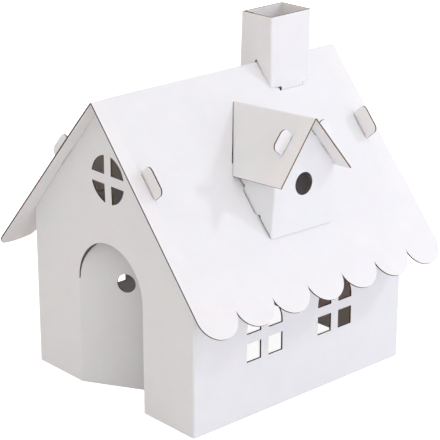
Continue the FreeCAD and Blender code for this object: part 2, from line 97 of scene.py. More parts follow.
class CardSettings(bpy.types.PropertyGroup):
    """The corrugated board that every piece is cut from."""

    board: length("Board", "Thickness of the card", 1.5)
    liner: length("Liner", "Thickness of each paper face", 0.12)
    crease_inside: length("Crease", "Inside radius of a crease", 0.3)
    flute: length("Flute", "Distance from one flute to the next", 3.3)
    burr: length("Burr", "How far the inner face stands out round the holes", 0.5)
    # Painted shade: the flutes' painted shade is made this many times lighter on the dormer's sheets, whose
    # cut edges face the light
    flute_shade_lift: number("Crush", "How many times lighter the hollows are in a lighter-shaded edge", 7.0)
    gap: length("Seat gap", "Room between a cut edge and the face under it", 0.1)
    slot_gap: length("Slot gap", "Room on each side of a tab in its slot", 0.2)
    white: colour("White", "Paper faces", (0.84, 0.84, 0.84))
    medium: colour("Fluting", "Brown paper between the two faces", (0.250, 0.140, 0.075))
    flute_shade: colour("Hollow", "Shade inside the flutes", (0.018, 0.013, 0.010))


class WallSettings(bpy.types.PropertyGroup):
    """The sheet of the four walls."""

    height: length("Height", "Side walls, at the outer face", 151.6)
    lap: length("Lap", "Glued flap in the corner where the sheet closes", 22.0)
    centre_x: length("Centre", "Centre line of the door and the round window", -1.0)
    door_width: length("Door width", "Width of the doorway", 89.0)
    door_spring: length("Door spring", "Height at which the doorway's arch begins", 103.0)
    door_angle: angle("Door angle", "How far the door is pushed inwards", 30.0)
    door_kerf: length("Door kerf", "Gap at the door's free side", 0.8)
    door_slit: length("Door slit", "Cut between the door's hinge side and the gable", 0.2)
    porthole: length("Porthole", "Diameter of the hole in the door", 17.5)
    round_window: length("Round window", "Diameter of the gable's window", 44.6)
    round_height: length("Round window height", "Height of its centre", 208.35)
    round_x: length("Round window place", "Its centre, from the middle of the gable", 1.7)
    window_width: length("Window width", "Width of a side window", 43.0)
    sill: length("Sill", "Height of the side windows' lower edge", 52.8)
    spring: length("Window spring", "Height at which a side window's arch begins", 82.0)
    crossbar: length("Crossbar", "Height of the middle of a side window's crossbar", 74.9)
    bar: length("Bar", "Width of the windows' bars", 9.0)
    window_gap: length("Window spacing", "Between the middles of the two windows of a wall", 87.2)
    windows_y: length("Windows", "Middle of the pair of windows along the wall", -1.2)
    tab_place: length("Tab place", "From the ridge down the slope to the middle of a tab", 86.0)
    left_tab_place: length("Left tab place", "The same for the front left tab", 86.0)
    tab_neck: length("Tab neck", "Width of a tab in its slot", 22.4)
    tab_head: length("Tab head", "Width of a tab over its ears", 27.5)
    tab_corner: length("Tab corner", "Radius of a tab's corners", 5.5)
    tab_left: length("Left tab", "Height of the front left tab", 16.3)
    tab_right: length("Right tab", "Height of the front right tab", 13.5)
    tab_back: length("Back tabs", "Height of the two back tabs", 16.8)
    lean: length("Lean", "How far the front gable leans forward over the side walls", 2.4)
    splay: length("Splay", "How far the foot of the back right corner stands out", 1.7)


class RoofSettings(bpy.types.PropertyGroup):
    """The sheet of the main roof."""

    pitch: angle("Pitch", "Slope of the main roof", 49.3)
    slope: length("Slope", "From the ridge to the tips of the scallops", 230.5)
    overhang: length("Overhang", "Past each gable, at the ridge", 17.3)
    scallops: bpy.props.IntProperty(name="Scallops", description="Scallops along each eave", default=7)
    scallop_depth: length("Scallop depth", "From the tips to the points between them", 20.0)
    slot_slack: length("Slot slack", "How much wider the gables' slots are, at their -Y side", 0.7)
    curl: angle("Curl", "How much the front left scallop is bent up", 12.0)
    droop: length("Droop", "How far the front end of the ridge hangs", 0.9)


class ChimneySettings(bpy.types.PropertyGroup):
    """The strip that makes the chimney."""

    lap: length("Lap", "Glued flap inside the corner where the strip closes", 12.0)
    tongue: length("Tongue", "Width of each tongue under a side panel", 26.3)
    tongue_depth: length("Tongue depth", "How far a tongue reaches down", 11.0)
    wide_slot: length("Wide slot", "Room outside a tongue in its slot", 2.4)
    press: length("Press", "How far the right tongue is pressed outwards in its slot", 2.0)
    foot_gap: length("Foot gap", "Under the right panel's foot beside its tongue", 0.5)
    # Painted shade: darkens the chimney's white, to even out the key lamp's brighter light on it
    tone: number("Tone", "Brightness of its paper against the other sheets'", 0.975)
    squash: length("Squash", "How far its mouth is squashed across the left and right corners", 1.5)
    slot_slack: length("Slot slack", "How much longer its slots are, at their -Y end", 1.8)
    relief: length("Relief", "Radius of the small hole at the top of each notch", 1.0)
    notch_gap: length("Notch gap", "Room between the notches and the roof", 1.0)
    splay: length("Splay", "How far the left panel stands out at its foot", 2.4)


class DormerSettings(bpy.types.PropertyGroup):
    """The two sheets of the dormer."""

    width: length("Width", "Over its side walls", 73.5)
    centre_y: length("Middle", "Middle of the dormer along the roof", 1.5)
    hole: length("Hole", "Diameter of the round hole", 20.6)
    hole_height: length("Hole height", "Height of the hole's centre", 201.4)
    hole_offset: length("Hole offset", "From the middle of the front wall to the hole's centre", 1.6)
    side_gap: length("Side gap", "Under the side walls' lower edges", 1.5)
    tongue: length("Tongue", "Width of the tongue under each side wall", 22.4)
    tongue_place: length("Tongue place", "From the main ridge down the slope to its middle", 124.8)
    tongue_depth: length("Tongue depth", "How far a tongue reaches under the roof", 8.0)
    pitch: angle("Pitch", "Slope of the dormer's roof", 51.2)
    ridge_height: length("Ridge height", "Front end of the dormer's ridge", 264.6)
    tilt: angle("Tilt", "How much the dormer's ridge rises to the front", 3.4)
    slope: length("Slope", "From the dormer's ridge to its eaves", 68.6)
    overhang: length("Overhang", "Past the dormer's front wall", 14.0)
    left_tab_place: length("Left tab place", "From the dormer's ridge down to the middle of a tab", 30.0)
    right_tab_place: length("Right tab place", "The same for the tab on the right slope", 31.9)
    tab_neck: length("Tab neck", "Width of a tab in its slot", 12.0)
    tab_head: length("Tab head", "Width of a tab over its ears", 20.5)
    tab_left: length("Left tab", "Height of the tab on the left slope", 13.8)
    tab_right: length("Right tab", "Height of the tab on the right slope", 15.2)
    tab_corner: length("Tab corner", "Radius of the tabs' corners", 5.5)
    foot_gap: length("Foot gap", "Room under the front wall", 0.5)
    shoulder: length("Shoulder", "Length of the edge that touches the roof beside a tongue", 3.0)
    relief: length("Relief", "Depth of the small notch beside each shoulder", 2.4)
    bow: length("Bow", "How far the tongues' slots pull the side walls outwards", 1.9)
    slot_room: length("Slot room", "Room outside a tongue in its slot", 1.0)
    turn: length("Turn", "How far the back end of the dormer's ridge is pulled to the left", 1.5)
    lean: length("Lean", "How far the left fold leans inwards at its top", 3.4)
    yaw: length("Yaw", "How far the front wall's foot is turned forward on the right", 0.5)


class StudioSettings(bpy.types.PropertyGroup):
    """Camera, lamps and floor."""

    azimuth: angle("Azimuth", "Camera's turn round the house", 47.833)
    elevation: angle("Elevation", "Camera's angle above the horizon", 20.286)
    distance: number("Distance", "From the house to the camera", 1.608, unit="LENGTH")
    lens: number("Lens", "Focal length in millimetres", 141.77)
    sky: number("Sky", "Strength of the light from all round", 0.858)
    sky_tint: colour("Sky tint", "Colour of the light from all round", (1.0, 0.955, 0.941))
    fill: number("Fill", "Power of the broad lamp", 19.4, unit="POWER")
    fill_tint: colour("Fill tint", "Colour of the broad lamp", (0.72, 0.78, 1.0))
    key: number("Key", "Power of the small lamp", 12.6, unit="POWER")
    key_tint: colour("Key tint", "Colour of the small lamp", (0.83, 0.88, 1.0))


PREFIX = "card_house_"
SETTINGS = {
    "card": CardSettings, "walls": WallSettings, "roof": RoofSettings,
    "chimney": ChimneySettings, "dormer": DormerSettings, "studio": StudioSettings,
}


def settings(name):
    """One of the groups of settings, as the scene holds it."""
    return getattr(bpy.context.scene, PREFIX + name)


# ---- nets: the outlines that the die cuts -------------------------------------------------------
# A corner of an outline is (x, y), (x, y, radius) or (x, y, 0, bulge). The bulge belongs to the arc
# from that corner to the next, and is the tangent of a quarter of the arc's angle.

QUARTER = math.tan(math.pi / 8)     # bulge of a quarter of a circle
ARC_STEPS = 10


def rounded(corners):
    """Outline as (place, bulge) pairs, with every corner that has a radius rounded."""
    made = []
    places = [Vector(corner[:2]) for corner in corners]
    for index, corner in enumerate(corners):
        radius = corner[2] if len(corner) > 2 else 0
        bulge = corner[3] if len(corner) > 3 else 0
        here = places[index]
        if not radius:
            made.append((here, bulge))
            continue
        back = (places[index - 1] - here).normalized()
        ahead = (places[(index + 1) % len(places)] - here).normalized()
        turn = math.pi - back.angle(ahead)
        run = radius * math.tan(turn / 2)
        side = 1 if back.cross(ahead) < 0 else -1
        made.append((here + back * run, side * math.tan(turn / 4)))
        made.append((here + ahead * run, 0))
    return made


def ring(x, y, radius):
    """Outline of a round hole."""
    return [(x + radius, y, 0, QUARTER), (x, y + radius, 0, QUARTER), (x - radius, y, 0, QUARTER),
            (x, y - radius, 0, QUARTER)]


def box_outline(x_low, y_low, x_high, y_high):
    return [(x_low, y_low), (x_high, y_low), (x_high, y_high), (x_low, y_high)]


def arc_bulge(radius, start, end):
    """Bulge of the arc between two places on a circle of that radius, in the sense that is given."""
    chord = (Vector(end) - Vector(start)).length
    return math.tan(math.asin(min(1, chord / 2 / radius)) / 2)


def locking_tab(place, middle, neck, head, height, root, corner):
    """Corners of a tab with an ear on each side, from its near end to its far end along the edge."""
    slot_gap = settings("card").slot_gap
    ear = (head - neck) / 6
    near, far = middle - neck / 2, middle + neck / 2
    near_ear, far_ear = middle - head / 2, middle + head / 2
    corners = [(near, root, 0), (near, slot_gap, 0), (near_ear, slot_gap, ear), (near_ear, height, corner),
               (far_ear, height, corner), (far_ear, slot_gap, ear), (far, slot_gap, 0), (far, root, 0)]
    return [(*place(along, above), radius) for along, above, radius in corners]


def flat_sheet(outlines):
    """Flat bmesh of a sheet with its holes, outer face up, from outlines of the sheet and the holes."""
    curve = bpy.data.curves.new("net", "CURVE")
    curve.dimensions = "2D"
    curve.fill_mode = "BOTH"
    curve.resolution_u = ARC_STEPS
    for outline in outlines:
        pairs = rounded(outline)
        spline = curve.splines.new("BEZIER")
        spline.bezier_points.add(len(pairs) - 1)
        spline.use_cyclic_u = True
        for index, (here, bulge) in enumerate(pairs):
            before, bulge_before = pairs[index - 1]
            after = pairs[(index + 1) % len(pairs)][0]
            point = spline.bezier_points[index]
            point.co = here.to_3d()
            point.handle_left_type = "FREE" if bulge_before else "VECTOR"
            point.handle_right_type = "FREE" if bulge else "VECTOR"
            if bulge_before:
                point.handle_left = arc_handle(here, before, -bulge_before).to_3d()
            if bulge:
                point.handle_right = arc_handle(here, after, bulge).to_3d()
    holder = bpy.data.objects.new("net", curve)
    mesh = bpy.data.meshes.new_from_object(holder)
    sheet = bmesh.new()
    sheet.from_mesh(mesh)
    bpy.data.objects.remove(holder)
    bpy.data.curves.remove(curve)
    bpy.data.meshes.remove(mesh)
    bmesh.ops.remove_doubles(sheet, verts=sheet.verts, dist=WELD)
    for face in sheet.faces:
        if face.normal.z < 0:
            face.normal_flip()
    return sheet


def arc_handle(here, there, bulge):
    """Bezier handle at one end of an arc that runs from here to there."""
    chord = there - here
    turned = Matrix.Rotation(-2 * math.atan(bulge), 2) @ chord
    return here + turned * ((1 + bulge * bulge) / 3)


# ---- folding ------------------------------------------------------------------------------------

def crease_width(turn):
    """Width of the strip that bends, on the sheet's inner face."""
    return max(settings("card").crease_inside * turn, FINEST_CREASE)


class Crease:
    """Fold along the sheet's own Y, at a place on its X. What lies beyond it turns to the inner side."""

    def __init__(self, at, turn, beyond, part=None, steps=6):
        self.at, self.turn, self.beyond, self.part, self.steps = at, turn, beyond, part, steps
        self.width = crease_width(turn)

    def lines(self):
        return [self.at + self.width * (step / self.steps - 0.5) for step in range(self.steps + 1)]

    def axes(self):
        """Places that it bends at, from the farthest from the sheet's fixed panel to the nearest."""
        lines = self.lines()
        middles = [(low + high) / 2 for low, high in zip(lines, lines[1:])]
        return middles[::-1] if self.beyond > 0 else middles


def ridge_creases(pitch):
    """The two halves of the crease along a sheet's middle, from which its slopes fall."""
    offset = crease_width(pitch) / 2
    return [Crease(offset, pitch, 1, steps=5), Crease(-offset, pitch, -1, steps=5)]


def outer_radius():
    """Outside radius of a crease."""
    return settings("card").crease_inside + settings("card").board


def crest_drop(pitch):
    """How far a folded ridge's crest lies under the corner in which its slopes' faces would meet."""
    return outer_radius() * (1 / math.cos(pitch) - 1)


def fold_allowance(turn):
    """How much shorter the flat sheet is than its folded outside, on each side of a crease."""
    return outer_radius() * math.tan(turn / 2) - settings("card").crease_inside * turn / 2


def cut_lines(sheet, creases, grid_x, grid_y):
    """Cuts the flat sheet's faces along its creases and along a grid on which it can bow."""
    lines = list(grid_x)
    for crease in creases:
        ends = crease.lines()
        lines += ends + [ends[0] - CREASE_GUARD, ends[-1] + CREASE_GUARD]
    cuts = [((x, 0, 0), (1, 0, 0)) for x in lines] + [((0, y, 0), (0, 1, 0)) for y in grid_y]
    for place, normal in cuts:
        bmesh.ops.bisect_plane(sheet, geom=sheet.verts[:] + sheet.edges[:] + sheet.faces[:],
                               dist=ON_CUT, plane_co=place, plane_no=normal)


def thicken(sheet):
    """Gives the sheet its thickness, marks its cut edges, and keeps each point's place on the net."""
    board = settings("card").board
    made = bmesh.ops.extrude_face_region(sheet, geom=sheet.faces[:])
    moved = [item for item in made["geom"] if isinstance(item, bmesh.types.BMVert)]
    bmesh.ops.translate(sheet, verts=moved, vec=(0, 0, -board))
    bmesh.ops.recalc_face_normals(sheet, faces=sheet.faces)
    net = sheet.verts.layers.float_vector.new("card")
    for vert in sheet.verts:
        vert[net] = vert.co
    for face in sheet.faces:
        face.material_index = 0 if abs(face.normal.z) > 0.5 else 1
    return net


def fold(sheet, net, creases):
    """Folds the sheet at its creases, the farthest from its fixed panel first."""
    inner = -settings("card").board
    for crease in sorted(creases, key=lambda item: -abs(item.at)):
        step = crease.turn / crease.steps * crease.beyond
        for axis in crease.axes():
            beyond = [vert for vert in sheet.verts
                      if (vert[net].x - axis) * crease.beyond > 0
                      and (crease.part is None or crease.part(vert[net]))]
            bmesh.ops.rotate(sheet, cent=(axis, 0, inner), matrix=Matrix.Rotation(step, 3, "Y"),
                             verts=beyond)


def ramp(value, low, high):
    """Smooth step from 0 at low to 1 at high."""
    share = min(1.0, max(0.0, (value - low) / (high - low)))
    return share * share * (3 - 2 * share)


def grid(low, high, spacing):
    """Places about a spacing apart between two ends, without the ends."""
    count = max(1, round((high - low) / spacing))
    return [low + (high - low) * index / count for index in range(1, count)]


def burr(sheet, inside):
    """Pushes the inner face out a little round the cut edges where the die came through."""
    rise = settings("card").burr
    for vert in sheet.verts:
        if vert.co.z < -rise and any(face.material_index for face in vert.link_faces) and inside(vert.co):
            vert.co.z -= rise


def add_object(name, data):
    made = bpy.data.objects.new(name, data)
    bpy.context.scene.collection.objects.link(made)
    return made


def sheet_object(name, sheet):
    """Object from a finished bmesh."""
    mesh = bpy.data.meshes.new(name)
    sheet.to_mesh(mesh)
    sheet.free()
    return add_object(name, mesh)


def placed(along_x, along_y, along_z, centre):
    """Matrix that lays an object's own axes along three directions, with its origin at a place."""
    place = Matrix.Identity(4)
    for column, axis in enumerate((along_x, along_y, along_z, centre)):
        place.col[column][:3] = axis
    return place


def facing_front(y):
    """Stands a net upright with its outer face to the front, at a place along the house."""
    return placed((1, 0, 0), (0, 0, 1), (0, -1, 0), (0, y, 0))


def card_piece(name, outlines, creases, place, grid_x=(), grid_y=(), shape=None, burred=None, pale=False,
               tone=1):
    """Makes a piece of card from its net: cut, thicken, fold, place, and bend a little.

    The grids are further cuts, along which the sheet can bow. Where burred says so, the inner face
    stands out round a hole. A pale piece has lighter painted shade in its edges' flutes, and a factor under
    1 darkens its paper with painted shade.
    """
    sheet = flat_sheet(outlines)
    cut_lines(sheet, creases, grid_x, grid_y)
    net = thicken(sheet)
    if burred:
        burr(sheet, burred)
    fold(sheet, net, creases)
    bmesh.ops.transform(sheet, matrix=place, verts=sheet.verts)
    if shape:
        shape(sheet, net)
    for face in sheet.faces:
        face.smooth = True
    for edge in sheet.edges:
        edge.smooth = edge.is_manifold and edge.calc_face_angle(0) < SHARP
    piece = sheet_object(name, sheet)
    piece.data.materials.append(paper_material(tone))
    piece.data.materials.append(edge_material(pale))
    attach(piece, "root")
    return piece


# ---- the main roof's slopes -----------------------------------------------------------------------

def ridge_height():
    """Height of the corner in which the two slopes' upper faces would meet."""
    card, pitch = settings("card"), settings("roof").pitch
    corner = settings("walls").height + HALF_WIDTH * math.tan(pitch)
    return corner + (card.board + card.gap) / math.cos(pitch)


def on_slope(side, down, above):
    """Across and height of a place on a slope: down from the ridge, above its upper face."""
    pitch = settings("roof").pitch
    return (side * (down * math.cos(pitch) + above * math.sin(pitch)),
            ridge_height() - down * math.sin(pitch) + above * math.cos(pitch))


def roof_top(x):
    """Height of the main roof's upper face, at a distance to either side of the ridge."""
    return ridge_height() - abs(x) * math.tan(settings("roof").pitch)


# ---- materials ------------------------------------------------------------------------------------

STRAY_SCALE, FLUTE_STRAY = 45, 1.6 * MM     # how often and how far a flute leaves its straight line
CLOUD_SCALE, TOOTH_SCALE = 38, 1500
CLOUD_DARK, CLOUD_LIGHT = 0.962, 1.03       # the paper's clouds, against its plain white
# Painted shade: the stripes over the flutes are darker colour that stands for the washboard's shading
WASHBOARD_SHADE_DARK, WASHBOARD_SHADE_SHARE = 0.8, 0.022      # the stripes over the flutes, and how little they show
PAPER_SPECULAR, PAPER_ROUGHNESS, ROUGHER_TOOTH = 0.25, 0.62, 0.16
GLOW, GLOW_TINT, GLOW_DEPTH = 0.6, (1.0, 0.75, 0.62), 1.6 * MM      # light that spreads in the paper
WASHBOARD_HEIGHT, WASHBOARD_STRENGTH = 0.03 * MM, 0.25
TOOTH_HEIGHT, TOOTH_STRENGTH = 0.06 * MM, 0.35
MEDIUM_FULL, MEDIUM_GONE = 0.13 * MM, 0.26 * MM     # from the middle of the brown paper on a cut edge
LINER_BLEND = 0.05 * MM
LINER_TINT = (0.62, 0.54, 0.47)             # what the die leaves of the white at a cut edge
EDGE_ROUGHNESS, EDGE_TOOTH_HEIGHT, EDGE_TOOTH_STRENGTH = 0.9, 0.1 * MM, 0.5


def node(tree, kind, **values):
    """New node. Values name its properties or, as Input_Name, its inputs."""
    made = tree.nodes.new(kind)
    for key, value in values.items():
        if hasattr(made, key):
            setattr(made, key, value)
        else:
            made.inputs[key.replace("_", " ")].default_value = value
    return made


def join(tree, source, target):
    tree.links.new(source, target)


def feed(tree, value, socket):
    """Joins an output to a socket, or sets a plain value on it."""
    if isinstance(value, bpy.types.NodeSocket):
        join(tree, value, socket)
    elif value is not None:
        socket.default_value = value


def maths(tree, operation, *values):
    made = node(tree, "ShaderNodeMath", operation=operation)
    for value, socket in zip(values, made.inputs):
        feed(tree, value, socket)
    return made.outputs[0]


def mix(tree, factor, first, second):
    """Colour between two others. A colour is an output or a plain red, green and blue."""
    made = node(tree, "ShaderNodeMix", data_type="RGBA")
    feed(tree, factor, made.inputs[0])
    for value, socket in zip((first, second), made.inputs[6:8]):
        feed(tree, (*value, 1) if isinstance(value, tuple) else value, socket)
    return made.outputs[2]


def grouped(tree, group, **given):
    made = node(tree, "ShaderNodeGroup", node_tree=group)
    for key, value in given.items():
        feed(tree, value, made.inputs[key])
    return made


def bump(tree, height, distance, strength, normal=None):
    made = node(tree, "ShaderNodeBump", Strength=strength, Distance=distance)
    feed(tree, height, made.inputs["Height"])
    feed(tree, normal, made.inputs["Normal"])
    return made.outputs["Normal"]


def new_group(name, inputs, outputs):
    group = bpy.data.node_groups.new(name, "ShaderNodeTree")
    for title, kind, default in inputs:
        socket = group.interface.new_socket(title, in_out="INPUT", socket_type=kind)
        if default is not None:
            socket.default_value = default
    for title, kind in outputs:
        group.interface.new_socket(title, in_out="OUTPUT", socket_type=kind)
    return group, group.nodes.new("NodeGroupInput"), group.nodes.new("NodeGroupOutput")


def flute_group():
    """Wave across the flutes from -1 to 1, and the depth under the sheet's outer face."""
    name = "Flute wave"
    if name in bpy.data.node_groups:
        return bpy.data.node_groups[name]
    group, given, made = new_group(
        name, [("Net", "NodeSocketVector", None), ("Pitch", "NodeSocketFloat", settings("card").flute)],
        [("Wave", "NodeSocketFloat"), ("Depth", "NodeSocketFloat")])
    parts = node(group, "ShaderNodeSeparateXYZ")
    join(group, given.outputs["Net"], parts.inputs[0])
    drift = node(group, "ShaderNodeTexNoise", Scale=STRAY_SCALE, Detail=1)
    join(group, given.outputs["Net"], drift.inputs["Vector"])
    stray = maths(group, "MULTIPLY", maths(group, "SUBTRACT", drift.outputs["Fac"], 0.5), FLUTE_STRAY)
    turns = maths(group, "DIVIDE", maths(group, "ADD", parts.outputs["X"], stray), given.outputs["Pitch"])
    join(group, maths(group, "SINE", maths(group, "MULTIPLY", turns, 2 * math.pi)), made.inputs["Wave"])
    join(group, maths(group, "MULTIPLY", parts.outputs["Z"], -1.0), made.inputs["Depth"])
    return group


def fibre_group():
    """Cloudy mottling and fine tooth of uncoated paper."""
    name = "Paper fibre"
    if name in bpy.data.node_groups:
        return bpy.data.node_groups[name]
    group, given, made = new_group(name, [("Net", "NodeSocketVector", None)],
                                   [("Cloud", "NodeSocketFloat"), ("Tooth", "NodeSocketFloat")])
    cloud = node(group, "ShaderNodeTexNoise", Scale=CLOUD_SCALE, Detail=4, Roughness=0.6)
    tooth = node(group, "ShaderNodeTexNoise", Scale=TOOTH_SCALE, Detail=3, Roughness=0.65)
    for noise in (cloud, tooth):
        join(group, given.outputs["Net"], noise.inputs["Vector"])
    join(group, cloud.outputs["Fac"], made.inputs["Cloud"])
    join(group, tooth.outputs["Fac"], made.inputs["Tooth"])
    return group


def new_material(name):
    """Matt material, with its shader and the place on the net that each point of the card keeps."""
    material = bpy.data.materials.new(name)
    material.use_nodes = True
    tree = material.node_tree
    shader = tree.nodes["Principled BSDF"]
    shader.inputs["Specular IOR Level"].default_value = PAPER_SPECULAR
    net = node(tree, "ShaderNodeAttribute", attribute_name="card")
    return material, tree, shader, net.outputs["Vector"]


def paper_material(tone):
    """White paper faces, with faint clouds, a faint washboard bump and faint painted shade in stripes over
    the flutes.
    """
    # A factor under 1 makes a darker copy of the white paper, as painted shade.
    name = "white card face" if tone == 1 else "white card face, painted shade"
    if name in bpy.data.materials:
        return bpy.data.materials[name]
    card = settings("card")
    material, tree, shader, net = new_material(name)
    fibre = grouped(tree, fibre_group(), Net=net)
    flute = grouped(tree, flute_group(), Net=net, Pitch=card.flute)
    shader.inputs["Subsurface Weight"].default_value = GLOW
    shader.inputs["Subsurface Radius"].default_value = GLOW_TINT
    shader.inputs["Subsurface Scale"].default_value = GLOW_DEPTH
    dark, light, washboard_shade = (tuple(value * tone * share for value in card.white)
                           for share in (CLOUD_DARK, CLOUD_LIGHT, WASHBOARD_SHADE_DARK))
    clouds = mix(tree, fibre.outputs["Cloud"], dark, light)
    ridge = maths(tree, "MULTIPLY_ADD", flute.outputs["Wave"], 0.5, 0.5)
    # Painted shade along the washboard's stripes.
    washboard_shaded = mix(tree, maths(tree, "MULTIPLY", ridge, WASHBOARD_SHADE_SHARE), clouds, washboard_shade)
    join(tree, washboard_shaded, shader.inputs["Base Color"])
    rough = maths(tree, "MULTIPLY_ADD", fibre.outputs["Tooth"], ROUGHER_TOOTH, PAPER_ROUGHNESS)
    join(tree, rough, shader.inputs["Roughness"])
    washboard = bump(tree, flute.outputs["Wave"], WASHBOARD_HEIGHT, WASHBOARD_STRENGTH)
    toothed = bump(tree, fibre.outputs["Tooth"], TOOTH_HEIGHT, TOOTH_STRENGTH, washboard)
    join(tree, toothed, shader.inputs["Normal"])
    return material


def edge_material(pale):
    """Cut edge: pale liners, brown fluting and painted shade in the hollows, lighter on a pale piece."""
    name = "lighter-shaded card edge" if pale else "cut card edge"
    if name in bpy.data.materials:
        return bpy.data.materials[name]
    card = settings("card")
    material, tree, shader, net = new_material(name)
    flute = grouped(tree, flute_group(), Net=net, Pitch=card.flute)
    fibre = grouped(tree, fibre_group(), Net=net)
    half = card.board / 2
    swing = half - card.liner
    middle = maths(tree, "SUBTRACT", flute.outputs["Depth"], half)
    wave = maths(tree, "MULTIPLY", flute.outputs["Wave"], swing)
    away = maths(tree, "ABSOLUTE", maths(tree, "SUBTRACT", middle, wave))
    on_wave = node(tree, "ShaderNodeMapRange", From_Min=MEDIUM_FULL, From_Max=MEDIUM_GONE, To_Min=1.0,
                   To_Max=0.0)
    join(tree, away, on_wave.inputs[0])
    # Painted shade in the hollows, made lighter on a pale piece whose edges face the light.
    flute_shade = tuple(value * card.flute_shade_lift if pale else value for value in card.flute_shade)
    # Painted shade: the flutes' hollows are coloured dark in place of the shade inside them.
    core = mix(tree, on_wave.outputs[0], flute_shade, tuple(card.medium))
    in_liner = node(tree, "ShaderNodeMapRange", From_Min=swing - LINER_BLEND, From_Max=swing + LINER_BLEND)
    join(tree, maths(tree, "ABSOLUTE", middle), in_liner.inputs[0])
    liner = tuple(value * tint for value, tint in zip(card.white, LINER_TINT))
    join(tree, mix(tree, in_liner.outputs[0], core, liner), shader.inputs["Base Color"])
    shader.inputs["Roughness"].default_value = EDGE_ROUGHNESS
    toothed = bump(tree, fibre.outputs["Tooth"], EDGE_TOOTH_HEIGHT, EDGE_TOOTH_STRENGTH)
    join(tree, toothed, shader.inputs["Normal"])
    return material


# ---- the walls ------------------------------------------------------------------------------------

def gable_tabs(right_tab, left_tab, centre):
    """Top edge of a gable from right to left on the net. Each tab is given as its place and height."""
    walls, card = settings("walls"), settings("card")
    root = -(card.board + card.gap)
    run = []
    for side, (middle, height) in ((1, right_tab), (-1, left_tab)):
        def place(along, above, side=side):
            across, up = on_slope(side, along, above)
            return centre + across, up

        tab = locking_tab(place, middle, walls.tab_neck, walls.tab_head, height, root, walls.tab_corner)
        run += tab[::-1] if side > 0 else tab
        if side > 0:
            flat = outer_radius()
            top = apex_height(flat)
            run += [(centre + flat, top), (centre - flat, top)]
    return run


def apex_height(across):
    """Height of a gable's sloping edge at a distance from its middle."""
    return settings("walls").height + (HALF_WIDTH - across) * math.tan(settings("roof").pitch)


def window_outlines(centre):
    """The four panes of an arched side window."""
    walls = settings("walls")
    half, bar = walls.window_width / 2, walls.bar / 2
    low, high = walls.crossbar - bar, walls.crossbar + bar
    shoulder = math.sqrt(half * half - bar * bar)
    panes = [box_outline(centre - half, walls.sill, centre - bar, low),
             box_outline(centre + bar, walls.sill, centre + half, low)]
    spring = walls.spring
    bulge = arc_bulge(half, (half, 0), (bar, shoulder))
    return panes + [[(centre + bar, high), (centre + half, high), (centre + half, spring, 0, bulge),
                     (centre + bar, spring + shoulder)],
                    [(centre - bar, high), (centre - bar, spring + shoulder, 0, bulge),
                     (centre - half, spring), (centre - half, high)]]


def round_window_outlines(centre, height):
    """The four panes of the gable's round window."""
    walls = settings("walls")
    radius, bar = walls.round_window / 2, walls.bar / 2
    reach = math.sqrt(radius * radius - bar * bar)
    bulge = arc_bulge(radius, (reach, bar), (bar, reach))
    panes = []
    for quarter in range(4):
        turn = Matrix.Rotation(quarter * RIGHT_ANGLE, 2)
        corners = [turn @ Vector(place) for place in ((bar, bar), (reach, bar), (bar, reach))]
        bulges = (0, bulge, 0)
        panes.append([(centre + place.x, height + place.y, 0, b) for place, b in zip(corners, bulges)])
    return panes


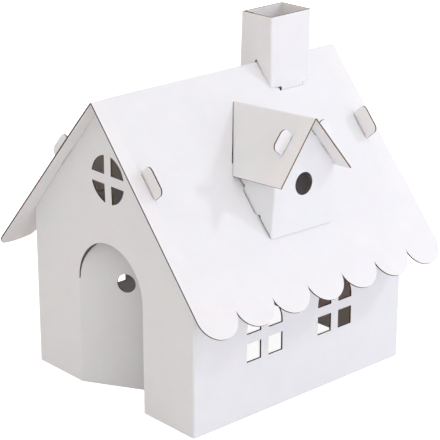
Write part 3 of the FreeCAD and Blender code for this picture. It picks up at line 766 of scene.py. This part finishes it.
class AddWalls(bpy.types.Operator):
    """Fold the walls' sheet round its four corners, with its windows, tabs and door"""

    bl_idname = "card_house.add_walls"
    bl_label = "Walls"

    def execute(self, context):
        walls, card = settings("walls"), settings("card")
        corner = fold_allowance(RIGHT_ANGLE)
        right = HALF_WIDTH - corner                             # creases, as places on the net
        back_right = right + 2 * (HALF_LENGTH - corner)
        back_centre = back_right + HALF_WIDTH - corner
        back_left = back_centre + HALF_WIDTH - card.board - CLOSING_ROOM - corner
        end = back_left + walls.lap - corner
        start = -right - (2 * HALF_LENGTH - corner)

        door_x, radius, spring = walls.centre_x, walls.door_width / 2, walls.door_spring
        hinge = door_x - radius
        door_fold = hinge - fold_allowance(walls.door_angle)
        leaf = radius - (walls.door_kerf + walls.door_slit) / 2
        leaf_x = hinge + walls.door_slit + leaf
        outline = [(start, 0), (leaf_x + leaf, 0), (leaf_x + leaf, spring, 0, QUARTER),
                   (leaf_x, spring + leaf, 0, QUARTER), (leaf_x - leaf, spring),
                   (hinge, spring, 0, -QUARTER), (door_x, spring + radius, 0, -QUARTER),
                   (door_x + radius, spring), (door_x + radius, 0), (end, 0), (end, walls.height),
                   (back_left, walls.height)]
        shoulder = apex_height(right - PAST_CREASE)
        last = back_left - PAST_CREASE
        back_tab = (walls.tab_place, walls.tab_back)
        outline += [(last, apex_height(last - back_centre))] + gable_tabs(back_tab, back_tab, back_centre)
        outline += [(back_right + PAST_CREASE, shoulder), (back_right - NEAR_CREASE, walls.height),
                    (right + NEAR_CREASE, walls.height), (right - PAST_CREASE, shoulder)]
        outline += gable_tabs((walls.tab_place, walls.tab_right), (walls.left_tab_place, walls.tab_left), 0)
        outline += [(PAST_CREASE - right, shoulder), (-right - NEAR_CREASE, walls.height),
                    (start, walls.height)]
        holes = [ring(door_x, spring, walls.porthole / 2)]
        holes += round_window_outlines(walls.round_x, walls.round_height)
        for step in (-0.5, 0.5):
            along = walls.windows_y + step * walls.window_gap + HALF_LENGTH - corner + right
            holes += window_outlines(along) + window_outlines(-along)
        lean_from, lean_full, splay_full = walls.height - 4 * MM, 208 * MM, 115 * MM     # heights

        def in_leaf(place):
            """Whether a place beyond the door's crease is on the leaf, and not on the gable round it."""
            if place.x > door_x + radius - walls.door_kerf / 2:
                return False
            if place.y < spring - WELD:
                return True
            if place.x < hinge + walls.door_slit / 2:
                return False
            return math.hypot(place.x - leaf_x, max(0, place.y - spring)) < leaf + 3 * WELD

        def settle(sheet, net):
            """Leans the front gable and splays the foot of the back right corner."""
            for vert in sheet.verts:
                here, place = vert.co, vert[net]
                if here.y < 0:
                    here.y -= walls.lean * ramp(here.z, lean_from, lean_full)
                elif place.x > 0:
                    backwards = max(0, 2 * here.y / HALF_LENGTH - 1)
                    to_right = (here.x / HALF_WIDTH + 1) / 2
                    low = 1 - ramp(here.z, splay_full, walls.height)
                    here.y += walls.splay * backwards * to_right * low

        def at_window(place):
            """The side windows' rims, and none of the cut edges at the sheet's outline."""
            return abs(place.x) > right + 10 * MM and walls.sill - WELD <= place.y < walls.height - 10 * MM

        creases = [Crease(at, RIGHT_ANGLE, 1) for at in (right, back_right, back_left)]
        creases += [Crease(-right, RIGHT_ANGLE, -1), Crease(door_fold, walls.door_angle, 1, in_leaf)]
        rows = grid(walls.height, 212 * MM, 8 * MM) + [40 * MM, 80 * MM, spring - MM]
        rows += [height * MM for height in (115, 124, 133, 142)]
        columns = [right + HALF_LENGTH * share for share in (1.5, 1.65, 1.8)]      # where it splays
        piece = card_piece("walls", [outline] + holes, creases, facing_front(-HALF_LENGTH), columns, rows,
                           settle, at_window)
        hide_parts("house_walls")
        return {"FINISHED"}


# ---- the main roof ----------------------------------------------------------------------------------

def eave(side, low_y, high_y, cusp):
    """Corners along one eave from low to high y for side 1, and back from high to low for side -1."""
    roof = settings("roof")
    width = (high_y - low_y) / roof.scallops
    tip = cusp + roof.scallop_depth
    bulge = math.tan(math.atan(2 * roof.scallop_depth / width) / 2)
    run = []
    for index in range(roof.scallops):
        first = low_y + width * index if side > 0 else high_y - width * index
        run += [(side * cusp, first, 0, bulge), (side * tip, first + side * width / 2, 0, bulge)]
    run.append((side * cusp, high_y if side > 0 else low_y))
    return run


class AddRoof(bpy.types.Operator):
    """Fold the roof's sheet along its ridge, with its scalloped eaves and slots"""

    bl_idname = "card_house.add_roof"
    bl_label = "Roof"

    def execute(self, context):
        walls, roof, card = settings("walls"), settings("roof"), settings("card")
        chimney, dormer = settings("chimney"), settings("dormer")
        saved = fold_allowance(2 * roof.pitch)      # between the corner of the slopes and the net's middle
        cusp = roof.slope - roof.scallop_depth - saved
        ridge_half = HALF_LENGTH + roof.overhang
        low_y, high_y = ROOF_LOW.y, ROOF_HIGH.y
        outline = [(0, -ridge_half)] + eave(1, low_y, high_y, cusp) + [(0, ridge_half)]
        outline += eave(-1, low_y, high_y, cusp)
        holes = [self.dormer_slit(saved)]
        for side in (-1, 1):
            half = walls.tab_neck / 2 + card.slot_gap
            front_tab = walls.tab_place if side > 0 else walls.left_tab_place
            for low, middle in ((WALLS_LOW.y - walls.lean, front_tab),
                                (WALLS_HIGH.y - card.board, walls.tab_place)):
                holes.append(self.slot(side, middle - saved, half, low - card.slot_gap - roof.slot_slack,
                                       low + card.board + card.slot_gap))
            outer = CHIMNEY_HIGH.x + (0 if side > 0 else chimney.splay)
            near = (outer - card.board - card.slot_gap) / math.cos(roof.pitch) - saved
            far = (outer + chimney.wide_slot) / math.cos(roof.pitch) - saved
            reach = chimney.tongue / 2 + card.slot_gap
            holes.append(self.slot(side, (near + far) / 2, (far - near) / 2,
                                   CHIMNEY_MIDDLE - reach - chimney.slot_slack, CHIMNEY_MIDDLE + reach))
        half = dormer.tongue / 2 + card.slot_gap
        middle = dormer.tongue_place - saved
        low = dormer.centre_y - dormer.width / 2
        high = dormer.centre_y + dormer.width / 2
        out = dormer.bow + dormer.slot_room
        inwards = card.board + card.slot_gap - dormer.bow
        holes.append(self.slot(1, middle, half, low - out, low + inwards))
        holes.append(self.slot(1, middle, half, high - inwards, high + out))
        bend, bend_run, shortened = 222 * MM, 3 * MM, 0.8       # the bent scallop, down the slope
        first_cusp = low_y + (high_y - low_y) / roof.scallops
        droop_from, droop_width = 110 * MM, 35 * MM

        def settle(sheet, net):
            """Lets the front end of the ridge hang and bends up the front left scallop."""
            for vert in sheet.verts:
                here, place = vert.co, vert[net]
                beside = 1 - ramp(abs(here.x), 0, droop_width)
                here.z -= roof.droop * ramp(-here.y, droop_from, ridge_half) * beside
                past = -place.x + saved - bend
                if past > 0 and place.y < first_cusp:
                    turned = roof.pitch - roof.curl * min(1, past / bend_run)
                    x, z = on_slope(-1, bend, 0)
                    run = past * shortened
                    here.x = x - run * math.cos(turned) - place.z * math.sin(turned)
                    here.z = z - run * math.sin(turned) + place.z * math.cos(turned)

        place = Matrix.Translation((0, 0, ridge_height() - crest_drop(roof.pitch)))
        columns = [saved - bend - step * MM for step in (0, 1, 2, 3, 5, 7)] + [-30 * MM, 30 * MM]
        rows = [step * MM - ridge_half for step in (6, 12, 18, 24, 30)]
        piece = card_piece("roof-sheet", [outline] + holes, ridge_creases(roof.pitch), place, columns, rows,
                           settle)
        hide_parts("roof")
        return {"FINISHED"}

    @staticmethod
    def dormer_slit(saved):
        """Narrow slot beside the back edge of the dormer's left slope."""
        dormer, pitch = settings("dormer"), settings("roof").pitch
        front, back, down, _ = dormer_axes(-1)
        inner, outer_foot, outer_top = 1.2, 1.1, 1.0        # millimetres from the back edge
        ends = []
        for distance in (1.8 * MM, 57 * MM):
            place = front + down * distance + back * dormer_reach(distance)
            place.y -= dormer.turn * (1 - distance / dormer.slope)
            run = place.x * math.cos(pitch) + (ridge_height() - place.z) * math.sin(pitch)
            ends.append(Vector((run - saved, place.y)))
        top, foot = ends
        run = (foot - top).normalized()
        aside = Vector((run.y, -run.x)) * MM
        corners = (top - aside * inner, foot - aside * inner, foot + aside * outer_foot,
                   top + aside * outer_top)
        return [tuple(corner) for corner in corners]

    @staticmethod
    def slot(side, middle, half, low_y, high_y):
        near, far = sorted((side * (middle - half), side * (middle + half)))
        return box_outline(near, low_y, far, high_y)


# ---- the chimney --------------------------------------------------------------------------------------

class AddChimney(bpy.types.Operator):
    """Fold the chimney's strip into a tube that stands over the ridge"""

    bl_idname = "card_house.add_chimney"
    bl_label = "Chimney"

    def execute(self, context):
        chimney, card, pitch = settings("chimney"), settings("card"), settings("roof").pitch
        half_x = (CHIMNEY_HIGH.x - CHIMNEY_LOW.x) / 2
        along = CHIMNEY_HIGH.y - CHIMNEY_LOW.y
        corner = fold_allowance(RIGHT_ANGLE)
        lift = card.gap / math.cos(pitch)
        gap = chimney.notch_gap / math.cos(pitch)
        top = CHIMNEY_HIGH.z
        foot = roof_top(half_x) + lift
        right_foot = foot + chimney.foot_gap
        apex = roof_top(0) + lift + gap
        tongue_foot = CHIMNEY_LOW.z
        right = half_x - corner
        back_right = right + along - 2 * corner
        back_centre = back_right + half_x - corner
        back_left = back_centre + half_x - corner
        joint = back_left + along - card.board - CLOSING_ROOM - 2 * corner
        end = joint + chimney.lap - corner
        middle = (right + back_right) / 2
        outline = [(-half_x, foot + gap)] + self.relief(0, apex)
        outline += [(right - 2 * NEAR_CREASE, foot + gap), (right, right_foot),
                    (middle - chimney.tongue / 2, right_foot)]
        outline += self.tongue(middle, foot, tongue_foot)[1:]
        outline += [(back_right, foot)] + self.relief(back_centre, apex) + [(back_left, foot)]
        outline += self.tongue((back_left + joint + card.board) / 2, foot, tongue_foot)
        flap_rise = (chimney.lap - corner) * math.tan(pitch)
        outline += [(joint, foot), (end, foot + flap_rise), (end, top), (-half_x, top)]
        press_beside, press_height = 6 * MM, 16 * MM        # how far round the tongue the panel gives
        squash_foot, splay_full = 262 * MM, 272 * MM        # heights
        squash_back, splay_power = 0.9, 1.2

        def settle(sheet, net):
            """Presses the right tongue out, squashes the mouth, and splays the left panel over the roof."""
            for vert in sheet.verts:
                here = vert.co
                if here.x > half_x - card.board - 10 * WELD:
                    beside = 1 - ramp(abs(here.y - CHIMNEY_MIDDLE) - chimney.tongue / 2, 0, press_beside)
                    here.x += chimney.press * beside * (1 - ramp(here.z - foot, 0, press_height))
                to_corner = (here.x / half_x + (here.y - CHIMNEY_MIDDLE) / (along / 2)) / 2
                squashed = chimney.squash * to_corner * ramp(here.z, squash_foot, 2 * top - squash_foot) * 2
                here.x -= squashed
                here.y += squashed * squash_back
                drop = max(0.0, top - here.z) / (top - splay_full)
                out = chimney.splay * min(1.0, drop ** splay_power) * max(0.0, -here.x / half_x)
                follow = 1 - ramp(here.z - roof_top(here.x), 2 * MM, 40 * MM)
                here.x -= out
                here.z -= out * math.tan(pitch) * follow

        creases = [Crease(at, RIGHT_ANGLE, 1) for at in (right, back_right, back_left, joint)]
        rows = [foot + rise * MM for rise in (0.6, 3, 6)] + grid(268 * MM, top, 8 * MM)
        columns = [-half_x / 2, back_centre + half_x / 2]
        columns += [middle + side * (chimney.tongue / 2 + past * MM) for side in (-1, 1)
                    for past in (-0.2, 3, 6)]
        # The chimney's paper is darkened with painted shade.
        piece = card_piece("chimney-tube", [outline], creases, facing_front(CHIMNEY_LOW.y), columns, rows,
                           settle, tone=chimney.tone)
        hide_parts("chimney")
        return {"FINISHED"}

    @staticmethod
    def relief(centre, apex):
        """Top of a notch, with the small round hole that stops it from tearing."""
        reach = settings("chimney").relief * 0.9        # half the chord in which it opens to the notch
        low = apex - reach * math.tan(settings("roof").pitch)
        half_circle = -1.0
        return [(centre - reach, low, 0, half_circle), (centre + reach, low)]

    @staticmethod
    def tongue(middle, foot, low):
        half = settings("chimney").tongue / 2
        return [(middle - half, foot), (middle - half, low), (middle + half, low), (middle + half, foot)]


# ---- the dormer -----------------------------------------------------------------------------------------

def dormer_axes(side):
    """Front end of the dormer's ridge, and directions back along it, down a slope and out of the slope."""
    dormer = settings("dormer")
    front = Vector((DORMER_HIGH.x + dormer.overhang, dormer.centre_y, dormer.ridge_height))
    back = Vector((-math.cos(dormer.tilt), 0, -math.sin(dormer.tilt)))
    up = Vector((-math.sin(dormer.tilt), 0, math.cos(dormer.tilt)))
    across = Vector((0, side, 0))
    down = across * math.cos(dormer.pitch) - up * math.sin(dormer.pitch)
    outwards = across * math.sin(dormer.pitch) + up * math.cos(dormer.pitch)
    return front, back, down, outwards


def dormer_reach(distance):
    """How far back the dormer's roof runs to the main roof, at a distance down its slope."""
    card, pitch = settings("card"), settings("roof").pitch
    front, back, down, outwards = dormer_axes(1)
    normal = Vector((math.sin(pitch), 0, math.cos(pitch)))
    underside = front + down * distance - outwards * card.board
    level = normal.z * ridge_height() + card.gap
    return (level - normal.dot(underside)) / normal.dot(back)


def dormer_underside(x, across):
    """Height just below the dormer's roof, at a distance from its middle."""
    card = settings("card")
    front, _, _, outwards = dormer_axes(1)
    start = front - outwards * (card.board + card.gap)
    aside = abs(across) + settings("dormer").centre_y - start.y
    return start.z - ((x - start.x) * outwards.x + aside * outwards.y) / outwards.z


class AddDormerWalls(bpy.types.Operator):
    """Fold the dormer's front wall and side walls, with its round hole, tabs and tongues"""

    bl_idname = "card_house.add_dormer_walls"
    bl_label = "Dormer walls"

    def execute(self, context):
        dormer, card = settings("dormer"), settings("card")
        pitch = settings("roof").pitch
        front_x = DORMER_HIGH.x
        half = dormer.width / 2
        corner = fold_allowance(RIGHT_ANGLE)
        crease = half - corner
        lift = dormer.foot_gap / math.cos(pitch)
        rise = dormer.side_gap / math.cos(pitch)
        foot = roof_top(front_x) + lift
        shoulder = dormer_underside(front_x - card.board, half)
        steepness = math.tan(pitch) + math.tan(dormer.tilt)
        back = (shoulder - roof_top(front_x) - rise) / steepness
        ridge = dormer.ridge_height - dormer.overhang * math.tan(dormer.tilt)

        def on_side(side, behind, height):
            """Place on a side wall, from its distance behind the front wall's outer face."""
            return side * (crease + behind - corner), height

        def tongue(side):
            """Lower edge of a side wall round its tongue, with a small notch beside each shoulder."""
            reach = dormer.tongue / 2
            shoulder = reach + dormer.shoulder
            notch = shoulder + dormer.relief
            steps = [(notch, dormer.side_gap), (notch, dormer.relief), (shoulder, dormer.relief),
                     (shoulder, card.gap), (reach, card.gap)]
            below = -dormer.tongue_depth - card.board
            run = [(-step, above, 0) for step, above in steps] + [(-reach, below, dormer.tab_corner)]
            run += [(reach, below, dormer.tab_corner)] + [(step, above, 0) for step, above in steps[::-1]]
            places = []
            for step, above, radius in run:
                across, height = on_slope(1, dormer.tongue_place + step, above)
                places.append((*on_side(side, front_x - across, height), radius))
            return places if side < 0 else places[::-1]

        def above_roof(side, behind):
            return on_side(side, behind, roof_top(front_x - behind) + rise)

        def tab(side, middle, height):
            cos, sin = math.cos(dormer.pitch), math.sin(dormer.pitch)

            def place(along, above):
                return side * (along * cos + above * sin), ridge - along * sin + above * cos

            return locking_tab(place, middle, dormer.tab_neck, dormer.tab_head, height, -2 * MM,
                               dormer.tab_corner)

        inside = front_x - card.board       # the front wall's inner face, which is lower under the slope
        flat, side_start = outer_radius(), 1.8 * MM
        peak, corner_height = dormer_underside(inside, flat), dormer_underside(inside, crease)
        outline = [above_roof(-1, back)] + tongue(-1)
        outline += [above_roof(-1, side_start), (-crease, foot), (crease, foot), above_roof(1, side_start)]
        outline += tongue(1)
        outline += [above_roof(1, back), (crease + PAST_CREASE, shoulder),
                    (crease - NEAR_CREASE, corner_height)]
        outline += tab(1, dormer.right_tab_place, dormer.tab_right)[::-1] + [(flat, peak), (-flat, peak)]
        outline += tab(-1, dormer.left_tab_place, dormer.tab_left)
        outline += [(NEAR_CREASE - crease, corner_height), (-crease - PAST_CREASE, shoulder)]
        hole = ring(dormer.hole_offset, dormer.hole_height, dormer.hole / 2)
        creases = [Crease(crease, RIGHT_ANGLE, 1), Crease(-crease, RIGHT_ANGLE, -1)]
        place = placed((0, 1, 0), (0, 0, 1), (1, 0, 0), (front_x, dormer.centre_y, 0))
        bow_least, right_lean, middle, outer = 0.6 * MM, 2 * MM, 0.35, 0.9      # the last two as sides
        foot_ahead, foot_round = 0.6 * MM, 0.2 * MM

        def settle(sheet, net):
            """Leans the front folds, bows the side walls' feet out, and turns the front wall's foot."""
            for vert in sheet.verts:
                here = vert.co
                side = (here.y - dormer.centre_y) / half            # -1 at the left wall, 1 at the right
                above = (here.z - roof_top(here.x)) * math.cos(pitch)
                high = ramp(above, 0, 31 * MM) * (1 - ramp(here.z, 206 * MM, 224 * MM))
                share = max(0.0, abs(side) - middle) / (1 - middle)
                at_front = ramp(here.x, front_x - 30 * MM, front_x)
                here.y += (dormer.lean if side < 0 else right_lean) * high * share * at_front
                down = (here.x - (here.z - ridge_height()) * math.tan(pitch)) * math.cos(pitch)
                off = abs(down - dormer.tongue_place) - dormer.tongue / 2
                if abs(side) > outer and here.x < front_x - 6 * MM:
                    bowed = bow_least + (dormer.bow - bow_least) * (1 - ramp(off, 0, 3 * MM))
                    here.y += math.copysign(bowed, side) * (1 - ramp(above, MM, 20 * MM))
                ahead = foot_ahead + dormer.yaw * side - foot_round * side * side
                ahead *= ramp(here.x, front_x - 12 * MM, front_x) * (1 - ramp(here.z, 185 * MM, 215 * MM))
                here.x += ahead
                low = 1 - ramp(here.z - roof_top(here.x), 3 * MM, 20 * MM)
                here.z -= ahead * math.tan(pitch) * low

        rows = grid(156 * MM, 224 * MM, 6 * MM)
        columns = [side * half * share for side in (-1, 1) for share in (0.35, 0.6, 0.8)]
        columns += [side * (crease + run * MM) for side in (-1, 1) for run in (6, 9, 13, 17, 22, 27, 32)]
        piece = card_piece("dormer-box", [outline, hole], creases, place, columns, rows, settle, pale=True)
        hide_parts("dormer_walls")
        return {"FINISHED"}


class AddDormerRoof(bpy.types.Operator):
    """Fold the dormer's roof along its ridge, with a slot in each slope"""

    bl_idname = "card_house.add_dormer_roof"
    bl_label = "Dormer roof"

    def execute(self, context):
        dormer, card = settings("dormer"), settings("card")
        saved = fold_allowance(2 * dormer.pitch)
        reach = [dormer_reach(0), dormer_reach(dormer.slope)]
        edge = dormer.slope - saved
        outline = [(0, 0), (edge, 0), (edge, reach[1]), (0, reach[0]), (-edge, reach[1]), (-edge, 0)]
        skew = math.sin(dormer.tilt) * math.sin(dormer.pitch)
        room = card.slot_gap + card.gap
        holes = []
        for side, middle in ((1, dormer.right_tab_place), (-1, dormer.left_tab_place)):
            corners = []
            for step, across in ((-1, -room), (1, -room), (1, card.board + room), (-1, card.board + room)):
                along = middle + step * (dormer.tab_neck / 2 + card.slot_gap)
                ahead = (dormer.overhang + along * skew) / math.cos(dormer.tilt)
                corners.append((side * (along - saved), ahead + across))
            holes.append(corners)
        front, back, _, _ = dormer_axes(1)
        up = Vector((-math.sin(dormer.tilt), 0, math.cos(dormer.tilt)))
        place = placed((0, 1, 0), back, up, front - up * crest_drop(dormer.pitch))
        hinge, front_turn = DORMER_LOW.x - 40 * MM, 2.5 * MM

        def settle(sheet, net):
            """Turns the ridge a little against the eaves."""
            for vert in sheet.verts:
                ahead = (vert.co.x - hinge) / (front.x - hinge)
                vert.co.y += (front_turn * ahead - dormer.turn) * (1 - min(1.0, abs(vert[net].x) / edge))

        piece = card_piece("dormer-cover", [outline] + holes, ridge_creases(dormer.pitch), place,
                           shape=settle, pale=True)
        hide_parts("dormer_roof")
        return {"FINISHED"}


# ---- the studio ---------------------------------------------------------------------------------------

FLOOR_REACH, FLOOR_WHITE, FLOOR_GLOW = 6.0, 0.80, 0.9
FILL_PLACE, FILL_AIM, FILL_SIZE = Vector((2.2, 0.3, 0.28)), Vector((0, 0, 0.15)), 2.0
KEY_PLACE, KEY_RADIUS = Vector((0.800, 0.970, 1.000)), 60 * MM
CAMERA_AIM, CAMERA_RIGHT, CAMERA_UP = Vector((0, 0, 0.110)), 1.25 * MM, 27.26 * MM


def seen_directly(tree):
    """1 for rays from the camera, a gloss or a glass, and 0 for those that carry light to a matt face."""
    path = node(tree, "ShaderNodeLightPath")
    sent_on = maths(tree, "MAXIMUM", path.outputs["Is Glossy Ray"], path.outputs["Is Transmission Ray"])
    return maths(tree, "MAXIMUM", path.outputs["Is Camera Ray"], sent_on)


def either(tree, share, first, second):
    """The first shader where the share is 0, and the second where it is 1."""
    pick = node(tree, "ShaderNodeMixShader")
    for source, socket in zip((share, first.outputs[0], second.outputs[0]), pick.inputs):
        join(tree, source, socket)
    return pick.outputs[0]


def add_lamp(name, kind, power, colour, place):
    """Lamp that lights the house and isn't seen itself."""
    light = bpy.data.lights.new(name, kind)
    light.energy, light.color = power, colour
    lamp = add_object(name, light)
    lamp.location = place
    lamp.visible_camera = False
    return lamp


class AddStudio(bpy.types.Operator):
    """Add the pale floor, the lamps, the even sky and the camera"""

    bl_idname = "card_house.add_studio"
    bl_label = "Studio"

    def execute(self, context):
        studio, scene = settings("studio"), context.scene
        scene.view_settings.view_transform = "Standard"
        self.floor()
        scene.world = self.sky(studio)
        fill = add_lamp("fill", "AREA", studio.fill, studio.fill_tint, FILL_PLACE)
        fill.data.size = FILL_SIZE
        fill.rotation_euler = (FILL_AIM - FILL_PLACE).to_track_quat("-Z", "Y").to_euler()
        key = add_lamp("key", "POINT", studio.key, studio.key_tint, KEY_PLACE)
        key.data.shadow_soft_size = KEY_RADIUS
        scene.camera = self.camera(studio)
        return {"FINISHED"}

    @staticmethod
    def floor():
        """Matt floor that keeps the house's shadow and is nearly white behind it."""
        sheet = bmesh.new()
        bmesh.ops.create_grid(sheet, x_segments=1, y_segments=1, size=FLOOR_REACH)
        floor = sheet_object("floor", sheet)
        material = bpy.data.materials.new("floor")
        material.use_nodes = True
        tree = material.node_tree
        shader = tree.nodes["Principled BSDF"]
        shader.inputs["Base Color"].default_value = (FLOOR_WHITE, FLOOR_WHITE, FLOOR_WHITE, 1)
        shader.inputs["Roughness"].default_value = 1.0
        shader.inputs["Specular IOR Level"].default_value = 0.0
        blank = node(tree, "ShaderNodeEmission", Strength=0.0)
        glow = node(tree, "ShaderNodeEmission", Strength=FLOOR_GLOW)
        both = node(tree, "ShaderNodeAddShader")
        join(tree, either(tree, seen_directly(tree), blank, glow), both.inputs[0])
        join(tree, shader.outputs[0], both.inputs[1])
        join(tree, both.outputs[0], tree.nodes["Material Output"].inputs["Surface"])
        floor.data.materials.append(material)

    @staticmethod
    def sky(studio):
        """Even light from all round, seen as plain white."""
        world = bpy.data.worlds.new("sky")
        world.use_nodes = True
        tree = world.node_tree
        tree.nodes.clear()
        even = node(tree, "ShaderNodeBackground", Color=(*studio.sky_tint, 1), Strength=studio.sky)
        white = node(tree, "ShaderNodeBackground", Color=(1, 1, 1, 1), Strength=1.0)
        out = node(tree, "ShaderNodeOutputWorld")
        join(tree, either(tree, seen_directly(tree), even, white), out.inputs["Surface"])
        return world

    @staticmethod
    def camera(studio):
        data = bpy.data.cameras.new("camera")
        data.lens = studio.lens
        data.clip_end = 50
        turn, rise = studio.azimuth, studio.elevation
        back = Vector((math.sin(turn) * math.cos(rise), -math.cos(turn) * math.cos(rise), math.sin(rise)))
        right = Vector((math.cos(turn), math.sin(turn), 0))
        up = back.cross(right)
        camera = add_object("camera", data)
        camera.matrix_world = placed(right, up, back, CAMERA_AIM + back * studio.distance
                                     + right * CAMERA_RIGHT + up * CAMERA_UP)
        return camera


OPERATORS = (AddWalls, AddRoof, AddChimney, AddDormerWalls, AddDormerRoof, AddStudio)


class CardHousePanel(bpy.types.Panel):
    """Lists the pieces of the card house"""

    bl_idname = "VIEW3D_PT_card_house"
    bl_label = "Card House"
    bl_space_type = "VIEW_3D"
    bl_region_type = "UI"
    bl_category = "Card House"

    def draw(self, context):
        for operator in OPERATORS:
            self.layout.operator(operator.bl_idname)
        for name, group in SETTINGS.items():
            box = self.layout.box()
            box.label(text=name.capitalize())
            for key in group.__annotations__:
                box.prop(settings(name), key)


def register():
    for group in SETTINGS.values():
        bpy.utils.register_class(group)
    for name, group in SETTINGS.items():
        setattr(bpy.types.Scene, PREFIX + name, bpy.props.PointerProperty(type=group))
    for operator in OPERATORS:
        bpy.utils.register_class(operator)
    bpy.utils.register_class(CardHousePanel)


def unregister():
    bpy.utils.unregister_class(CardHousePanel)
    for operator in reversed(OPERATORS):
        bpy.utils.unregister_class(operator)
    for name in SETTINGS:
        delattr(bpy.types.Scene, PREFIX + name)
    for group in reversed(list(SETTINGS.values())):
        bpy.utils.unregister_class(group)


def main():
    register()
    for operator in OPERATORS:
        family, action = operator.bl_idname.split(".")
        getattr(getattr(bpy.ops, family), action)()


if __name__ == "__main__":
    main()
